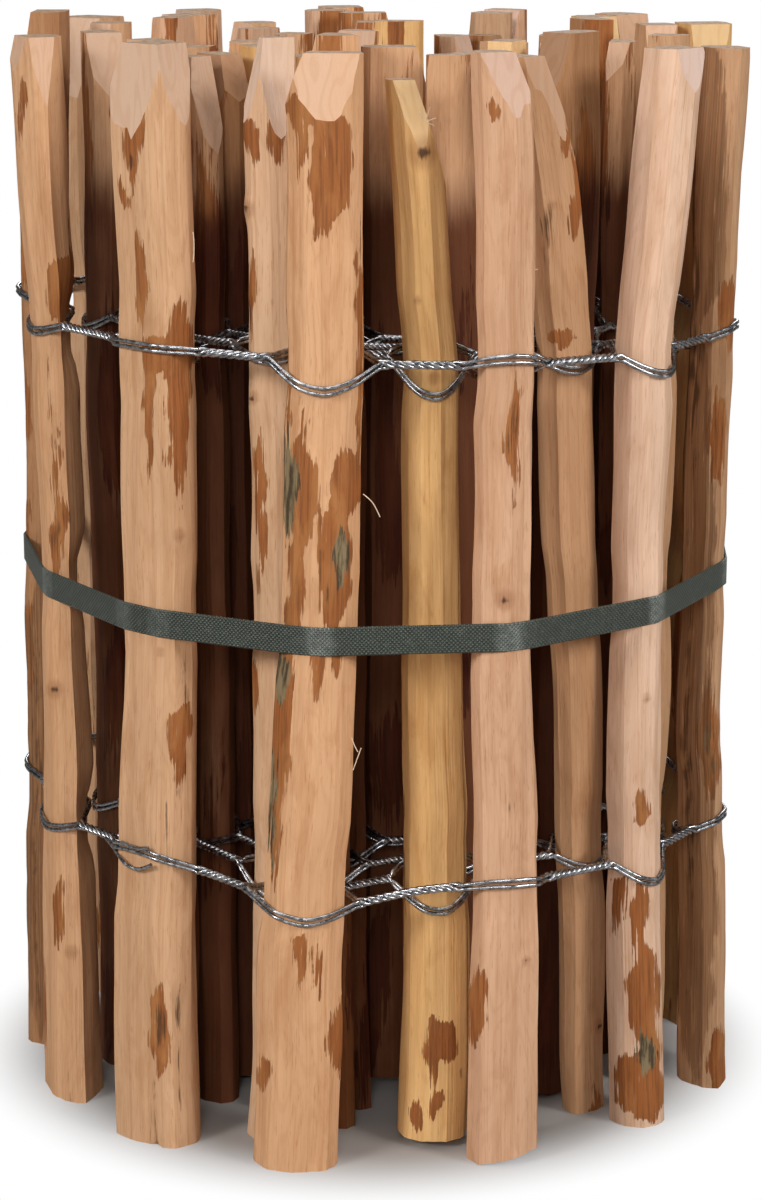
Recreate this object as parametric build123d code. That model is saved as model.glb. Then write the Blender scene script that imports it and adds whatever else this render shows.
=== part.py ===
from build123d import *
import math
import os
import random

# A short roll of cleft paling fence, standing on its feet, with a strap pulled tight round it.
# The axis of the roll is Z, the feet stand on z = 0 and the front of the roll faces -Y.
# Angles go round the roll from its front, positive towards +X, in degrees. Lengths are in millimetres.

# The fence
PALE_LENGTH = 500
PALE_WIDTH = 30
PALE_THICKNESS = 17
PALE_COUNT = 54
INNER_PITCH = 62
WIRE = 1.8
UPPER_LINE = 369
LOWER_LINE = 135
LINE_TILT = 5
LOOP_DROP = 8
LOOP_RISE = 5
TWIST_MARGIN = 6
TWIST_PARTS = 4
TAIL = 16
CLEARANCE = 0.3

# The roll. It is wound outwards from its hollow core, so its radius follows from what is wound on.
CORE_REACH = 48.9
FULL_TURNS = 5
TURN_GAP = 6
OUTER_THICKNESS = 20
OUTER_GAP = 7
INNER_BAND = PALE_THICKNESS + TURN_GAP
OUTER_BAND = OUTER_THICKNESS + OUTER_GAP
ROLL_RADIUS = CORE_REACH + (FULL_TURNS - 1) * INNER_BAND + OUTER_BAND + WIRE + CLEARANCE
STEP_ANGLE = 70
START_ANGLE = -172
WINDING_SEED = 11

# The strap
STRAP_WIDTH = 13
STRAP_THICKNESS = 0.9
STRAP_HEIGHT = 255
STRAP_DIP = 5
STRAP_LAP = 60
WELD_INSET = 0.25
WELD_GAP = 0.1

# Heights where a pale's line may bend, as shares of its length
STATIONS = (0, 0.27, 0.5, 0.74, 1)

# Cleft sections, as shares of a pale's width and thickness. The outside of the roll is at +y.
HALF_ROUND = ((-0.5, -0.4), (0.4, -0.5), (0.5, -0.12), (0.4, 0.28), (0.1, 0.5), (-0.26, 0.44), (-0.46, 0.12))
QUARTER = ((-0.34, -0.5), (0.14, -0.46), (0.5, 0.12), (0.42, 0.4), (0.02, 0.5), (-0.42, 0.34), (-0.5, -0.05))
SLAB = ((-0.44, -0.5), (0.4, -0.46), (0.5, -0.05), (0.42, 0.38), (0.2, 0.5), (-0.4, 0.44), (-0.5, 0.08))
WEDGE = ((-0.12, -0.5), (0.2, -0.48), (0.5, 0.2), (0.36, 0.46), (-0.1, 0.5), (-0.5, 0.3), (-0.46, -0.02))

STRAIGHT = (0, 0, 0, 0, 0)
LEFT = 180
RIGHT = 0
OUTSIDE = 90
INSIDE = -90
OUTSIDE_LEFT = 135
OUTSIDE_RIGHT = 50


def unit(angle):
    """Plan direction at an angle in degrees."""
    return math.cos(math.radians(angle)), math.sin(math.radians(angle))


def cross(first, second, third):
    """Positive where three plan points turn to the left."""
    return (second[0] - first[0]) * (third[1] - first[1]) - (second[1] - first[1]) * (third[0] - first[0])


def half_hull(points, side):
    """The taut line over sorted plan points: over their tops for side 1, under them for side -1."""
    chain = []
    for point in sorted(points):
        while len(chain) > 1 and side * cross(chain[-2], chain[-1], point) >= 0:
            chain.pop()
        chain.append(point)
    return chain


def grow(outline, distance):
    """A convex plan outline with every edge moved out by a distance."""
    if sum(cross((0, 0), a, b) for a, b in zip(outline, outline[1:] + outline[:1])) < 0:
        outline = outline[::-1]
    grown = []
    for before, corner, after in zip(outline[-1:] + outline[:-1], outline, outline[1:] + outline[:1]):
        first = math.atan2(before[0] - corner[0], corner[1] - before[1])
        second = math.atan2(corner[0] - after[0], after[1] - corner[1])
        half = (second - first) % (2 * math.pi) / 2
        reach = distance / math.cos(half)
        grown.append((corner[0] + reach * math.cos(first + half), corner[1] + reach * math.sin(first + half)))
    return grown


class Pale:
    """One cleft pale in its place in the roll.

    Its own plan axes are x along the fence, to the right seen from outside, and y out of the roll.
    """

    def __init__(self, angle, reach, width=PALE_WIDTH, thickness=PALE_THICKNESS, section=HALF_ROUND, turned=0,
                 drift=STRAIGHT, flare=(0, 0), foot_scale=1.0, head_scale=1.0, head=(), length=PALE_LENGTH,
                 foot=0, foot_cut=0):
        self.angle = angle
        self.drift = drift
        self.flare = flare
        self.scales = (foot_scale, (1 + foot_scale) / 2, 1, (1 + head_scale) / 2, head_scale)
        self.head = head
        self.length = length
        self.foot = foot
        self.foot_cut = foot_cut
        cos, sin = unit(turned)
        shape = [(x * width, y * thickness) for x, y in section]
        self.shape = [(x * cos - y * sin, x * sin + y * cos) for x, y in shape]
        self.radius = reach - max(y for x, y in self.shape)

    def placed(self, x, y):
        """A point of the pale's own plan, in the roll's plan."""
        cos, sin = unit(self.angle)
        return x * cos + (self.radius + y) * sin, x * sin - (self.radius + y) * cos

    def local(self, point):
        """A point of the roll's plan, in the pale's own plan."""
        cos, sin = unit(self.angle)
        return point[0] * cos + point[1] * sin, point[0] * sin - point[1] * cos - self.radius

    def centre(self, height):
        """The plan point on the pale's middle line at a height."""
        drift, flare, scale = self.station(height / PALE_LENGTH)
        return self.placed(drift, flare)

    def half_width(self, height):
        """Half of the pale's width at a height."""
        return max(abs(x) for x, y in self.shape) * self.station(height / PALE_LENGTH)[2]

    def station(self, share):
        """Drift, flare and scale at a share of the pale's length."""
        below, above = self.flare
        flare = below * max(0, 1 - 2 * share) ** 2 + above * max(0, 2 * share - 1) ** 2
        number = max(n for n in range(len(STATIONS) - 1) if STATIONS[n] <= share)
        part = (share - STATIONS[number]) / (STATIONS[number + 1] - STATIONS[number])
        drift = self.drift[number] + (self.drift[number + 1] - self.drift[number]) * part
        scale = self.scales[number] + (self.scales[number + 1] - self.scales[number]) * part
        return drift, flare, scale

    def outline(self, height, growth=0.0):
        """The pale's section at a height, grown by a distance, in the roll's plan."""
        drift, flare, scale = self.station(min(1, max(0, height / PALE_LENGTH)))
        points = [self.placed(drift + x * scale, flare + y * scale) for x, y in self.shape]
        return grow(points, growth) if growth else points

    def solid(self, stations=STATIONS):
        """The cleft length, with its head hewn and its foot sawn."""
        rings = []
        for share in stations:
            drift, flare, scale = self.station(share)
            height = self.foot + share * (self.length - self.foot)
            points = [self.placed(drift + x * scale, flare + y * scale) for x, y in self.shape]
            rings.append(Wire.make_polygon([Vector(x, y, height) for x, y in points], close=True))
        body = Solid.make_loft(rings, ruled=True)
        drift, flare, scale = self.station(1)
        for facing, inset, drop in self.head:
            cos, sin = unit(facing)
            edge = max((x * cos + y * sin) * scale for x, y in self.shape)
            body = self.hewn(body, cos, sin, drift, flare, edge, inset, drop)
        if self.foot_cut:
            corner = self.placed(self.drift[0], 0)
            tangent = unit(self.angle)
            slope = Vector(tangent[0] * self.foot_cut, tangent[1] * self.foot_cut, -1)
            edge = max(abs(x) for x, y in self.shape) * self.scales[0]
            height = edge * abs(self.foot_cut)
            body = split(body, bisect_by=Plane((*corner, height), z_dir=slope), keep=Keep.BOTTOM)
        return body

    def hewn(self, body, cos, sin, drift, flare, edge, inset, drop):
        """The body with one flat bevel that starts inset from its edge and runs out drop below the head."""
        origin = self.placed(drift + cos * edge, flare + sin * edge)
        outward = self.placed(cos, sin)
        centre = self.placed(0, 0)
        slope = Vector((outward[0] - centre[0]) * drop, (outward[1] - centre[1]) * drop, inset)
        return split(body, bisect_by=Plane((*origin, self.length - drop), z_dir=slope), keep=Keep.BOTTOM)


def reach_at(angle):
    """How far out the fence may stand at an angle, counted on from the fence's outer end turn by turn."""
    turns, within = divmod(angle - START_ANGLE, 360)
    step = max(0, within - (360 - STEP_ANGLE)) / STEP_ANGLE
    sunk = turns + step
    outer = min(1, sunk) * OUTER_BAND
    return ROLL_RADIUS - WIRE - CLEARANCE - outer - max(0, sunk - 1) * INNER_BAND


def placed_pales(rows, wound, thickness):
    """Pales from hand-set rows, in the turn that starts this far round, standing out further where proud."""
    pales = []
    for row in rows:
        sizes = {"thickness": thickness, **row}
        reach = reach_at(row["angle"] + wound) + sizes.pop("proud", 0)
        pales.append(Pale(reach=reach, **sizes))
    return pales


def outer_pales():
    """The outer turn, from the fence's loose end at the back round by the left, the front and the right."""
    rows = [
        dict(angle=-172, width=31, head=((LEFT, 6, 26), (RIGHT, 4, 22)), drift=(3, 1, 0, -1, -2)),
        dict(angle=-145, width=27, section=QUARTER, head=((RIGHT, 7, 30),), drift=(-2, -1, 0, 1, 3)),
        dict(angle=-118, width=33, section=SLAB, head=((LEFT, 6, 24), (RIGHT, 6, 28))),
        dict(angle=-92, width=30, thickness=19, section=SLAB, head=((LEFT, 6, 16), (OUTSIDE, 6, 34)),
             drift=(4, 2, 0, -1, -3), flare=(5, -4), proud=4, length=PALE_LENGTH + 7),
        dict(angle=-66.5, width=24, thickness=15, section=QUARTER, turned=-8, foot_scale=1.5, head_scale=1.2,
             head=((LEFT, 5, 20), (RIGHT, 4, 24), (OUTSIDE, 3, 20)), drift=(4, 1, 0, -2, -9), flare=(3, 4),
             proud=1),
        dict(angle=-38.5, width=34, section=SLAB, turned=-4, foot_scale=1.22, head_scale=1.06,
             head=((LEFT, 8, 29), (RIGHT, 7, 34), (OUTSIDE, 3, 25)), drift=(-6, -4, 0, 1, 2), flare=(2, 2),
             length=PALE_LENGTH + 2),
        dict(angle=-10.2, width=35, thickness=21, section=HALF_ROUND, foot_scale=1.12, head_scale=0.95,
             head=((LEFT, 8, 21), (OUTSIDE, 3, 21)), drift=(-11, -7, 0, 4, 5), flare=(1, 1)),
        dict(angle=19.4, width=26, section=QUARTER, turned=6, foot_scale=1.24, head_scale=0.9,
             head=((RIGHT, 7, 20), (OUTSIDE, 4, 22)), drift=(4, 3, 0, 1, -2), foot_cut=0.25),
        dict(angle=47.5, width=22, thickness=18, section=HALF_ROUND, turned=10, foot_scale=1.15,
             head_scale=1.18, head=((RIGHT, 4, 16), (OUTSIDE, 3, 17)), drift=(5, 1, 0, 0, 13), flare=(3, 3),
             length=PALE_LENGTH - 2),
        dict(angle=74, width=27, section=WEDGE, turned=-14, foot_scale=1.15, head_scale=1.05,
             head=((RIGHT, 8, 27), (OUTSIDE_RIGHT, 5, 24)), drift=(-8, -1, 0, 2, 4), flare=(7, 3),
             length=PALE_LENGTH - 6),
        dict(angle=101, width=32, section=HALF_ROUND, head=((LEFT, 5, 24), (RIGHT, 6, 26))),
        dict(angle=128, width=28, section=SLAB, head=((LEFT, 7, 30),), drift=(-3, -1, 0, 1, 2)),
        dict(angle=155, width=26, section=QUARTER, head=((RIGHT, 5, 22), (INSIDE, 5, 20)), thickness=18),
    ]
    return placed_pales(rows, 0, OUTER_THICKNESS)


def second_pales():
    """The second turn, whose pales show in the gaps of the outer one."""
    rows = [
        dict(angle=-169, width=28, head=((LEFT, 6, 26),)),
        dict(angle=-133, width=30, section=SLAB, head=((RIGHT, 7, 28),)),
        dict(angle=-104, width=26, section=QUARTER, head=((LEFT, 5, 24), (RIGHT, 5, 24))),
        dict(angle=-77, width=29, head=((RIGHT, 8, 30),), drift=(-2, -1, 0, 1, 2)),
        dict(angle=-50, width=30, section=SLAB, head=((LEFT, 6, 28), (OUTSIDE, 5, 30)),
             drift=(2, 1, 0, -1, -3)),
        dict(angle=-19.8, width=26, section=HALF_ROUND, head_scale=0.92, drift=(-5, -1, 0, -2, -4),
             head=((LEFT, 9, 36), (OUTSIDE_LEFT, 6, 34), (OUTSIDE_RIGHT, 6, 38)), length=PALE_LENGTH + 4),
        dict(angle=10.2, width=26, section=HALF_ROUND, foot_scale=1.22, head_scale=0.85,
             head=((RIGHT, 10, 31), (OUTSIDE, 3, 16)), drift=(1, 2, 0, -1, -11), length=PALE_LENGTH - 13,
             foot=4),
        dict(angle=41, width=24, section=QUARTER, foot_scale=0.85, head_scale=1.08, drift=(14, 6, 0, -8, -27),
             head=((RIGHT, 13, 34), (OUTSIDE, 4, 31)), length=PALE_LENGTH - 4),
        dict(angle=68, width=21, thickness=15, head=((RIGHT, 6, 26),), drift=(-2, -1, 0, 2, 4), proud=3),
        dict(angle=99, width=29, head=((LEFT, 6, 24), (RIGHT, 5, 22))),
        dict(angle=126, width=27, section=SLAB, head=((LEFT, 8, 30),)),
        dict(angle=154, width=26, section=QUARTER, head=((RIGHT, 6, 28),)),
        dict(angle=183, width=28, head=((LEFT, 6, 24), (OUTSIDE, 5, 24))),
    ]
    return placed_pales(rows, 360, PALE_THICKNESS)


def inner_pales(angle, count):
    """The turns inside, a pitch apart along the fence, each pale cleft a little differently."""
    chance = random.Random(WINDING_SEED)
    pales = []
    for number in range(count):
        angle += math.degrees(INNER_PITCH / (reach_at(angle) - PALE_THICKNESS / 2))
        head = [(chance.choice((LEFT, RIGHT)), chance.uniform(5, 11), chance.uniform(22, 40))]
        if number % 2:
            head.append((chance.choice((OUTSIDE, INSIDE)), chance.uniform(3, 6), chance.uniform(14, 30)))
        lean = chance.uniform(-5, 5)
        pales.append(Pale(
            angle=angle,
            reach=reach_at(angle),
            width=PALE_WIDTH * chance.uniform(0.8, 1.05),
            thickness=PALE_THICKNESS * chance.uniform(0.85, 1),
            section=chance.choice((HALF_ROUND, QUARTER, SLAB, WEDGE)),
            turned=chance.uniform(-5, 5),
            drift=(-lean, -lean / 2, 0, lean / 2, lean),
            head=head,
            length=PALE_LENGTH - chance.uniform(-3, 10),
            foot=chance.choice((0, 0, chance.uniform(1, 7))),
        ))
    return pales


class Route:
    """A flat ribbon's path: plan points with a height and a ribbon width at each."""

    def __init__(self):
        self.points = []
        self.heights = []
        self.widths = []

    def add(self, point, height, width):
        self.points.append(point)
        self.heights.append(height)
        self.widths.append(width)

    def solid(self, thickness):
        """The ribbon, upright on edge, with mitred corners."""
        rings = []
        last = len(self.points) - 1
        for number, (x, y) in enumerate(self.points):
            before = self.points[max(0, number - 1)]
            after = self.points[min(last, number + 1)]
            arriving = math.atan2(y - before[1], x - before[0]) if number else None
            leaving = math.atan2(after[1] - y, after[0] - x) if number < last else arriving
            if arriving is None:
                arriving = leaving
            half = ((leaving - arriving + math.pi) % (2 * math.pi) - math.pi) / 2
            side = arriving + half - math.pi / 2
            reach = thickness / 2 / math.cos(half)
            low = self.heights[number] - self.widths[number] / 2
            high = low + self.widths[number]
            inner = (x - reach * math.cos(side), y - reach * math.sin(side))
            outer = (x + reach * math.cos(side), y + reach * math.sin(side))
            corners = ((inner, low), (outer, low), (outer, high), (inner, high))
            rings.append([Vector(*point, height) for point, height in corners])
        faces = [Face(Wire.make_polygon(ring, close=True)) for ring in (rings[0], rings[-1])]
        for ring, following in zip(rings, rings[1:]):
            for corner in range(len(ring)):
                edge = Edge.make_line(ring[corner - 1], ring[corner])
                next_edge = Edge.make_line(following[corner - 1], following[corner])
                faces.append(Face.make_surface_from_curves(edge, next_edge))
        return Solid(Shell(faces))


def line_height(line, point):
    """Height of a wire line at a plan point: it falls a little from the left of the roll to the right."""
    return line - LINE_TILT * point[0] / ROLL_RADIUS


def full_twist(pale, following, line, phase, turning):
    """One strand's plan points and heights in a straight gap, where it goes once round the other strand."""
    first = pale.centre(line)
    second = following.centre(line)
    span = math.dist(first, second)
    along = ((second[0] - first[0]) / span, (second[1] - first[1]) / span)
    out = (along[1], -along[0])
    start = pale.half_width(line) + TWIST_MARGIN
    end = span - following.half_width(line) - TWIST_MARGIN
    points = []
    for part in range(TWIST_PARTS + 1):
        place = start + (end - start) * part / TWIST_PARTS
        outward, upward = unit(phase + 360 * turning * part / TWIST_PARTS)
        x = first[0] + along[0] * place + out[0] * WIRE * outward
        y = first[1] + along[1] * place + out[1] * WIRE * outward
        points.append(((x, y), line_height(line, (x, y)) + WIRE * upward))
    return points


def crossing(pale, following, line, upward):
    """Where one strand crosses the other in a gap of the inner turns, which bows out to the pales' radius."""
    first = pale.centre(line)
    second = following.centre(line)
    middle = ((first[0] + second[0]) / 2, (first[1] + second[1]) / 2)
    bow = (math.hypot(*first) + math.hypot(*second)) / 2 / math.hypot(*middle)
    point = (middle[0] * bow, middle[1] * bow)
    return [(point, line_height(line, point) + WIRE * upward)]


def tail(pale, line, side, upward):
    """The end of a strand, past the fence's first or last pale."""
    point = pale.placed(side * (pale.half_width(line) + TAIL), 0)
    return [(point, line_height(line, point) + upward * WIRE)]


def strand(pales, outer_count, line, phase):
    """One pair of wires, the whole length of the fence, in front of a pale or behind it.

    The pair lies flat on each pale and closes up in the twists. Phase 0 is outside and 180 inside.
    """
    route = Route()
    side = round(unit(phase)[0])
    arrival = tail(pales[0], line, -1, side)
    for number, pale in enumerate(pales):
        for point, height in arrival:
            route.add(point, height, WIRE)
        turning = 1 if number % 2 else -1
        lift = LOOP_RISE if (number % 2 == 1) == (side == 1) else -LOOP_DROP
        loop = line_height(line, pale.centre(line)) + lift
        surface = [pale.local(point) for point in pale.outline(loop, WIRE / 2 + CLEARANCE)]
        if number + 1 == len(pales):
            departure = tail(pale, line, 1, side)
        elif number + 1 < outer_count:
            departure = full_twist(pale, pales[number + 1], line, phase, turning)
        else:
            departure = crossing(pale, pales[number + 1], line, side * turning)
        ends = [pale.local(arrival[-1][0]), pale.local(departure[0][0])]
        for x, y in half_hull(surface + ends, side)[1:-1]:
            route.add(pale.placed(x, y), loop, 2 * WIRE)
        if number + 1 >= outer_count:
            side = -side
        arrival = departure
    for point, height in arrival:
        route.add(point, height, WIRE)
    return route.solid(WIRE)


def strap(pales):
    """The band, pulled straight from pale to pale, with its ends lapped and welded at the back."""
    away = STRAP_THICKNESS / 2 + CLEARANCE
    surface = [point for pale in pales for point in pale.outline(STRAP_HEIGHT, away)]
    corners = half_hull(surface, -1)[:-1] + half_hull(surface, 1)[:0:-1]
    spans = list(zip(corners, corners[1:] + corners[:1]))
    back = [span for span in spans if span[0][1] > ROLL_RADIUS / 2 and span[1][1] > ROLL_RADIUS / 2]
    longest = max(back, key=lambda span: math.dist(*span))
    start, end = longest
    length = math.dist(start, end)
    along = ((end[0] - start[0]) / length, (end[1] - start[1]) / length)
    weld = min(STRAP_LAP, length / 2)
    inset = weld * WELD_INSET
    layer = STRAP_THICKNESS + WELD_GAP
    first = (start[0] + along[0] * inset, start[1] + along[1] * inset)
    over = (first[0] + along[1] * layer, first[1] - along[0] * layer)
    lapped = (over[0] + along[0] * weld, over[1] + along[1] * weld)
    turn = spans.index(longest) + 1
    round_trip = [first] + [span[0] for span in spans[turn:] + spans[:turn]] + [over, lapped]
    route = Route()
    for point in round_trip:
        route.add(point, STRAP_HEIGHT + STRAP_DIP * point[1] / ROLL_RADIUS, STRAP_WIDTH)
    return route.solid(STRAP_THICKNESS)


def main():
    os.makedirs("parts", exist_ok=True)
    first_turn = outer_pales()
    second_turn = second_pales()
    started = len(first_turn) + len(second_turn)
    last_angle = second_turn[-1].angle + 360
    pales = first_turn + second_turn + inner_pales(last_angle, PALE_COUNT - started)
    pieces = {}
    for number, pale in enumerate(pales, start=1):
        stations = STATIONS if number <= started else STATIONS[::2]
        pieces[f"pale_{number:02d}"] = pale.solid(stations)
    for name, line in (("upper", UPPER_LINE), ("lower", LOWER_LINE)):
        for end, phase in (("first", 0), ("second", 180)):
            pieces[f"{name}_{end}_wire_pair"] = strand(pales, len(first_turn), line, phase)
    pieces["strap"] = strap(first_turn)
    boxes = [piece.bounding_box() for piece in pieces.values()]
    middle_x = (min(box.min.X for box in boxes) + max(box.max.X for box in boxes)) / 2
    middle_y = (min(box.min.Y for box in boxes) + max(box.max.Y for box in boxes)) / 2
    for name, piece in pieces.items():
        export_step(Pos(-middle_x, -middle_y, 0) * piece, f"parts/{name}.step")


main()
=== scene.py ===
import math

import bmesh
import bpy
import numpy as np
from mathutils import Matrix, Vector, noise


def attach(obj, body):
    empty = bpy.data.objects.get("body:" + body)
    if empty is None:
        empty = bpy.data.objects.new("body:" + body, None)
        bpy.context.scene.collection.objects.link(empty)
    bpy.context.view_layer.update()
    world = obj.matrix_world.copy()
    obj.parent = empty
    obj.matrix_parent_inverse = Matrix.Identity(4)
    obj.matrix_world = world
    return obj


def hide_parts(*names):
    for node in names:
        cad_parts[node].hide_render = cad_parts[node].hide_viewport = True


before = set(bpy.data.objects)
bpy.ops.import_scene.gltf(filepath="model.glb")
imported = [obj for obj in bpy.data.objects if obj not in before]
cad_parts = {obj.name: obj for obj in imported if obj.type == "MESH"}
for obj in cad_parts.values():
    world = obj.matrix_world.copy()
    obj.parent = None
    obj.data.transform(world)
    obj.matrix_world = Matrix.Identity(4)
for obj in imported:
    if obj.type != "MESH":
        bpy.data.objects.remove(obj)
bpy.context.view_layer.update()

# The studio: a seamless floor, white away from the roll and dark grey round its foot, as painted shadow over
# the real one; two strong lamps in front at the left and right, and weaker lamps in the middle, behind and
# above. The camera stands in front of the roll, a little above its heads, and looks down.
CAMERA_DISTANCE = 1.478
CAMERA_HEIGHT = 0.5994
CAMERA_PITCH = 14.2
CAMERA_LENS = 94.1
SENSOR = 36
FLOOR_SIZE = 12
FLOOR_SHADOW_GREY = (0.36, 0.335, 0.315, 1)
SHADOW_REACH, SHADOW_END = 0.14, 0.205
WORLD_LIGHT = 0.12
LAMP_AIM = (0, 0, 0.25)

scene = bpy.context.scene
scene.view_settings.view_transform = "Standard"
axis = Vector((0.00488, 0.00017, 0))


def add(tree, kind, inputs=None, **settings):
    """A new node in a tree, with its settings and with values or sockets on its inputs."""
    made = tree.nodes.new(kind)
    for name, value in settings.items():
        setattr(made, name, value)
    for key, value in (inputs or {}).items():
        if isinstance(value, bpy.types.NodeSocket):
            tree.links.new(value, made.inputs[key])
        else:
            made.inputs[key].default_value = value
    return made


camera = bpy.data.objects.new("camera", bpy.data.cameras.new("camera"))
scene.collection.objects.link(camera)
camera.location = (axis.x, axis.y - CAMERA_DISTANCE, CAMERA_HEIGHT)
camera.rotation_euler = (math.radians(90 - CAMERA_PITCH), 0, 0)
camera.data.sensor_fit = "VERTICAL"
camera.data.sensor_width = SENSOR
camera.data.sensor_height = SENSOR
camera.data.lens = CAMERA_LENS
scene.camera = camera

world = bpy.data.worlds.new("studio")
world.use_nodes = True
scene.world = world
sky = world.node_tree
path = add(sky, "ShaderNodeLightPath")
seen = add(sky, "ShaderNodeMath", {0: path.outputs["Is Camera Ray"],
                                   1: path.outputs["Is Transmission Ray"]}, operation="MAXIMUM")
lit = add(sky, "ShaderNodeMapRange", {"Value": seen.outputs[0], "To Min": WORLD_LIGHT, "To Max": 1.0})
sky.links.new(lit.outputs[0], sky.nodes["Background"].inputs["Strength"])
sky.nodes["Background"].inputs["Color"].default_value = (1, 1, 1, 1)

for name, place, size, power in (
    ("left_softbox", (-2.1, -2.0, 1.7), 0.8, 51),
    ("right_softbox", (2.3, -1.7, 1.6), 0.8, 49),
    ("front_softbox", (-0.2, -3.0, 1.5), 0.8, 24),
    ("back_softbox", (0.4, 2.8, 1.6), 1.4, 34),
    ("top_softbox", (0.0, -0.3, 2.6), 1.0, 14),
):
    lamp = bpy.data.objects.new(name, bpy.data.lights.new(name, "AREA"))
    lamp.data.shape = "SQUARE"
    lamp.data.size = size
    lamp.data.energy = power
    lamp.location = place
    lamp.rotation_euler = (Vector(LAMP_AIM) - Vector(place)).to_track_quat("-Z", "Y").to_euler()
    scene.collection.objects.link(lamp)

floor = bpy.data.objects.new("floor", bpy.data.meshes.new("floor"))
half = FLOOR_SIZE / 2
floor_corners = [(-half, -half, 0), (half, -half, 0), (half, half, 0), (-half, half, 0)]
floor.data.from_pydata(floor_corners, [], [(0, 1, 2, 3)])
scene.collection.objects.link(floor)
paper = bpy.data.materials.new("floor_paper")
paper.use_nodes = True
tree = paper.node_tree
tree.nodes.clear()
path = add(tree, "ShaderNodeLightPath")
# Painted shadow: near the roll the floor is a dark grey that also takes real shadow; from SHADOW_REACH to
# SHADOW_END it fades into white glow seen only by camera rays.
matt = add(tree, "ShaderNodeBsdfDiffuse", {"Color": FLOOR_SHADOW_GREY})
glow = add(tree, "ShaderNodeEmission", {"Color": (1, 1, 1, 1), "Strength": 1.0})
where = add(tree, "ShaderNodeTexCoord")
away = add(tree, "ShaderNodeVectorMath", {0: where.outputs["Object"]}, operation="LENGTH")
paler = add(tree, "ShaderNodeMapRange", {"Value": away.outputs["Value"], "From Min": SHADOW_REACH,
                                         "From Max": SHADOW_END}, interpolation_type="SMOOTHSTEP")
share = add(tree, "ShaderNodeMath", {0: path.outputs["Is Camera Ray"], 1: paler.outputs[0]},
            operation="MULTIPLY")
blend = add(tree, "ShaderNodeMixShader", {0: share.outputs[0], 1: matt.outputs[0], 2: glow.outputs[0]})
add(tree, "ShaderNodeOutputMaterial", {0: blend.outputs[0]})
floor.data.materials.append(paper)

# The pales: poles cleft by hand into half rounds, quarters and slabs, with hewn heads and sawn feet. The raw
# wood shows its long grain, its knots, and the strips of bark and inner bark that the froe left on. Below
# their heads the inner turns are painted darker, as painted shade for the shadow deep inside the roll.
FINE_RING, FINE_SIDE = 0.003, 0.0026
COARSE_RING, COARSE_SIDE = 0.009, 0.005
SECTION_CORNERS = 7
TALLEST_CUT = 0.06
SHARP_ARRIS = 26
BULGE = 0.035
# How far below its head an inner pale is painted with shade, and how much of that shade the second turn gets.
UNSHADED_HEAD = 0.04
SECOND_TURN_SHADE = 0.88
UNDULATION = 0.0013
FIBRE_RELIEF = 0.0008
KINK = 0.0018
WAVE_ACROSS, WAVE_ALONG = 0.011, 0.10
RIDGE_ACROSS, RIDGE_ALONG = 0.003, 0.05
BARK_ACROSS, BARK_ALONG = 0.012, 0.075
KNOT_RISE = 0.0012
DARK_DEPTH = 0.0006
SPLIT_DEPTH = 0.004
BARK_THICKNESS = 0.0004
PRESSED_IN = 0.0003
STRAP_BAND = 0.014
WIRE_BAND = 0.016
CUT_MARGIN = 0.0005
SLOPE_SPAN = 0.02
FEET_BELOW, HEADS_ABOVE = 0.1, 0.3
CORNER_NUDGE = 1.3e-6
SHORTEST_SIDE = 2e-5
SMALLEST_FACE, SMALLEST_CUT = 2e-8, 4e-6
SAME_FACING, SAME_PLANE = 0.9998, 4e-5
LEVEL_FACING = 0.995
STRAP_HEIGHT = 0.2525
STRAP_WIDTH = 0.013
WIRE_HEIGHTS = (0.369, 0.135)
PALE_COUNT = 54
OUTER_COUNT = 13

FRESH = (0.64, 0.37, 0.20)
YELLOW = (0.78, 0.465, 0.19)
PINK = (0.59, 0.36, 0.225)
BROWN = (0.40, 0.20, 0.09)
PALE = (0.76, 0.49, 0.33)
CREAM = (0.64, 0.42, 0.26)
TAN = (0.54, 0.30, 0.155)
PAINTED_SHADE = (0.22, 0.12, 0.075)
PALE_WOODS = {
    "pale_03": FRESH, "pale_04": BROWN, "pale_05": FRESH, "pale_06": FRESH, "pale_07": FRESH, "pale_08": PINK,
    "pale_09": PALE, "pale_10": TAN, "pale_19": CREAM, "pale_20": YELLOW, "pale_21": TAN, "pale_22": TAN,
}
DEEPER_WOODS = {"pale_17": TAN}


def cut(corners, height):
    """Where a level plane cuts a pale's faces: the two ends of each cut, in plan."""
    above = corners[:, :, 2] - height
    crossed = (above.min(axis=1) < 0) & (above.max(axis=1) > 0)
    corners, above = corners[crossed], above[crossed]
    following, above_next = np.roll(corners, -1, axis=1), np.roll(above, -1, axis=1)
    through = above * above_next < 0
    share = np.where(through, above / np.where(through, above - above_next, 1), 0)
    points = corners[:, :, :2] + share[:, :, None] * (following - corners)[:, :, :2]
    return points[through].reshape(-1, 2, 2)


def section(corners, height, rays):
    """A pale's middle at a height, and how far its faces are from there along each ray."""
    ends = cut(corners, height)
    run = ends[:, 1] - ends[:, 0]
    length = np.hypot(run[:, 0], run[:, 1])
    real = length > SHORTEST_SIDE
    ends, run, length = ends[real], run[real], length[real]
    middle = (ends.mean(axis=1) * length[:, None]).sum(axis=0) / length.sum()
    normal = np.stack([run[:, 1], -run[:, 0]], axis=1) / length[:, None]
    away = ((ends[:, 0] - middle) * normal).sum(axis=1)
    normal = normal * np.sign(away)[:, None]
    facing = rays @ normal.T
    reach = np.where(facing > 1e-3, np.abs(away) / np.where(facing > 1e-3, facing, 1), 1)
    return middle, reach.min(axis=1)


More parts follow.
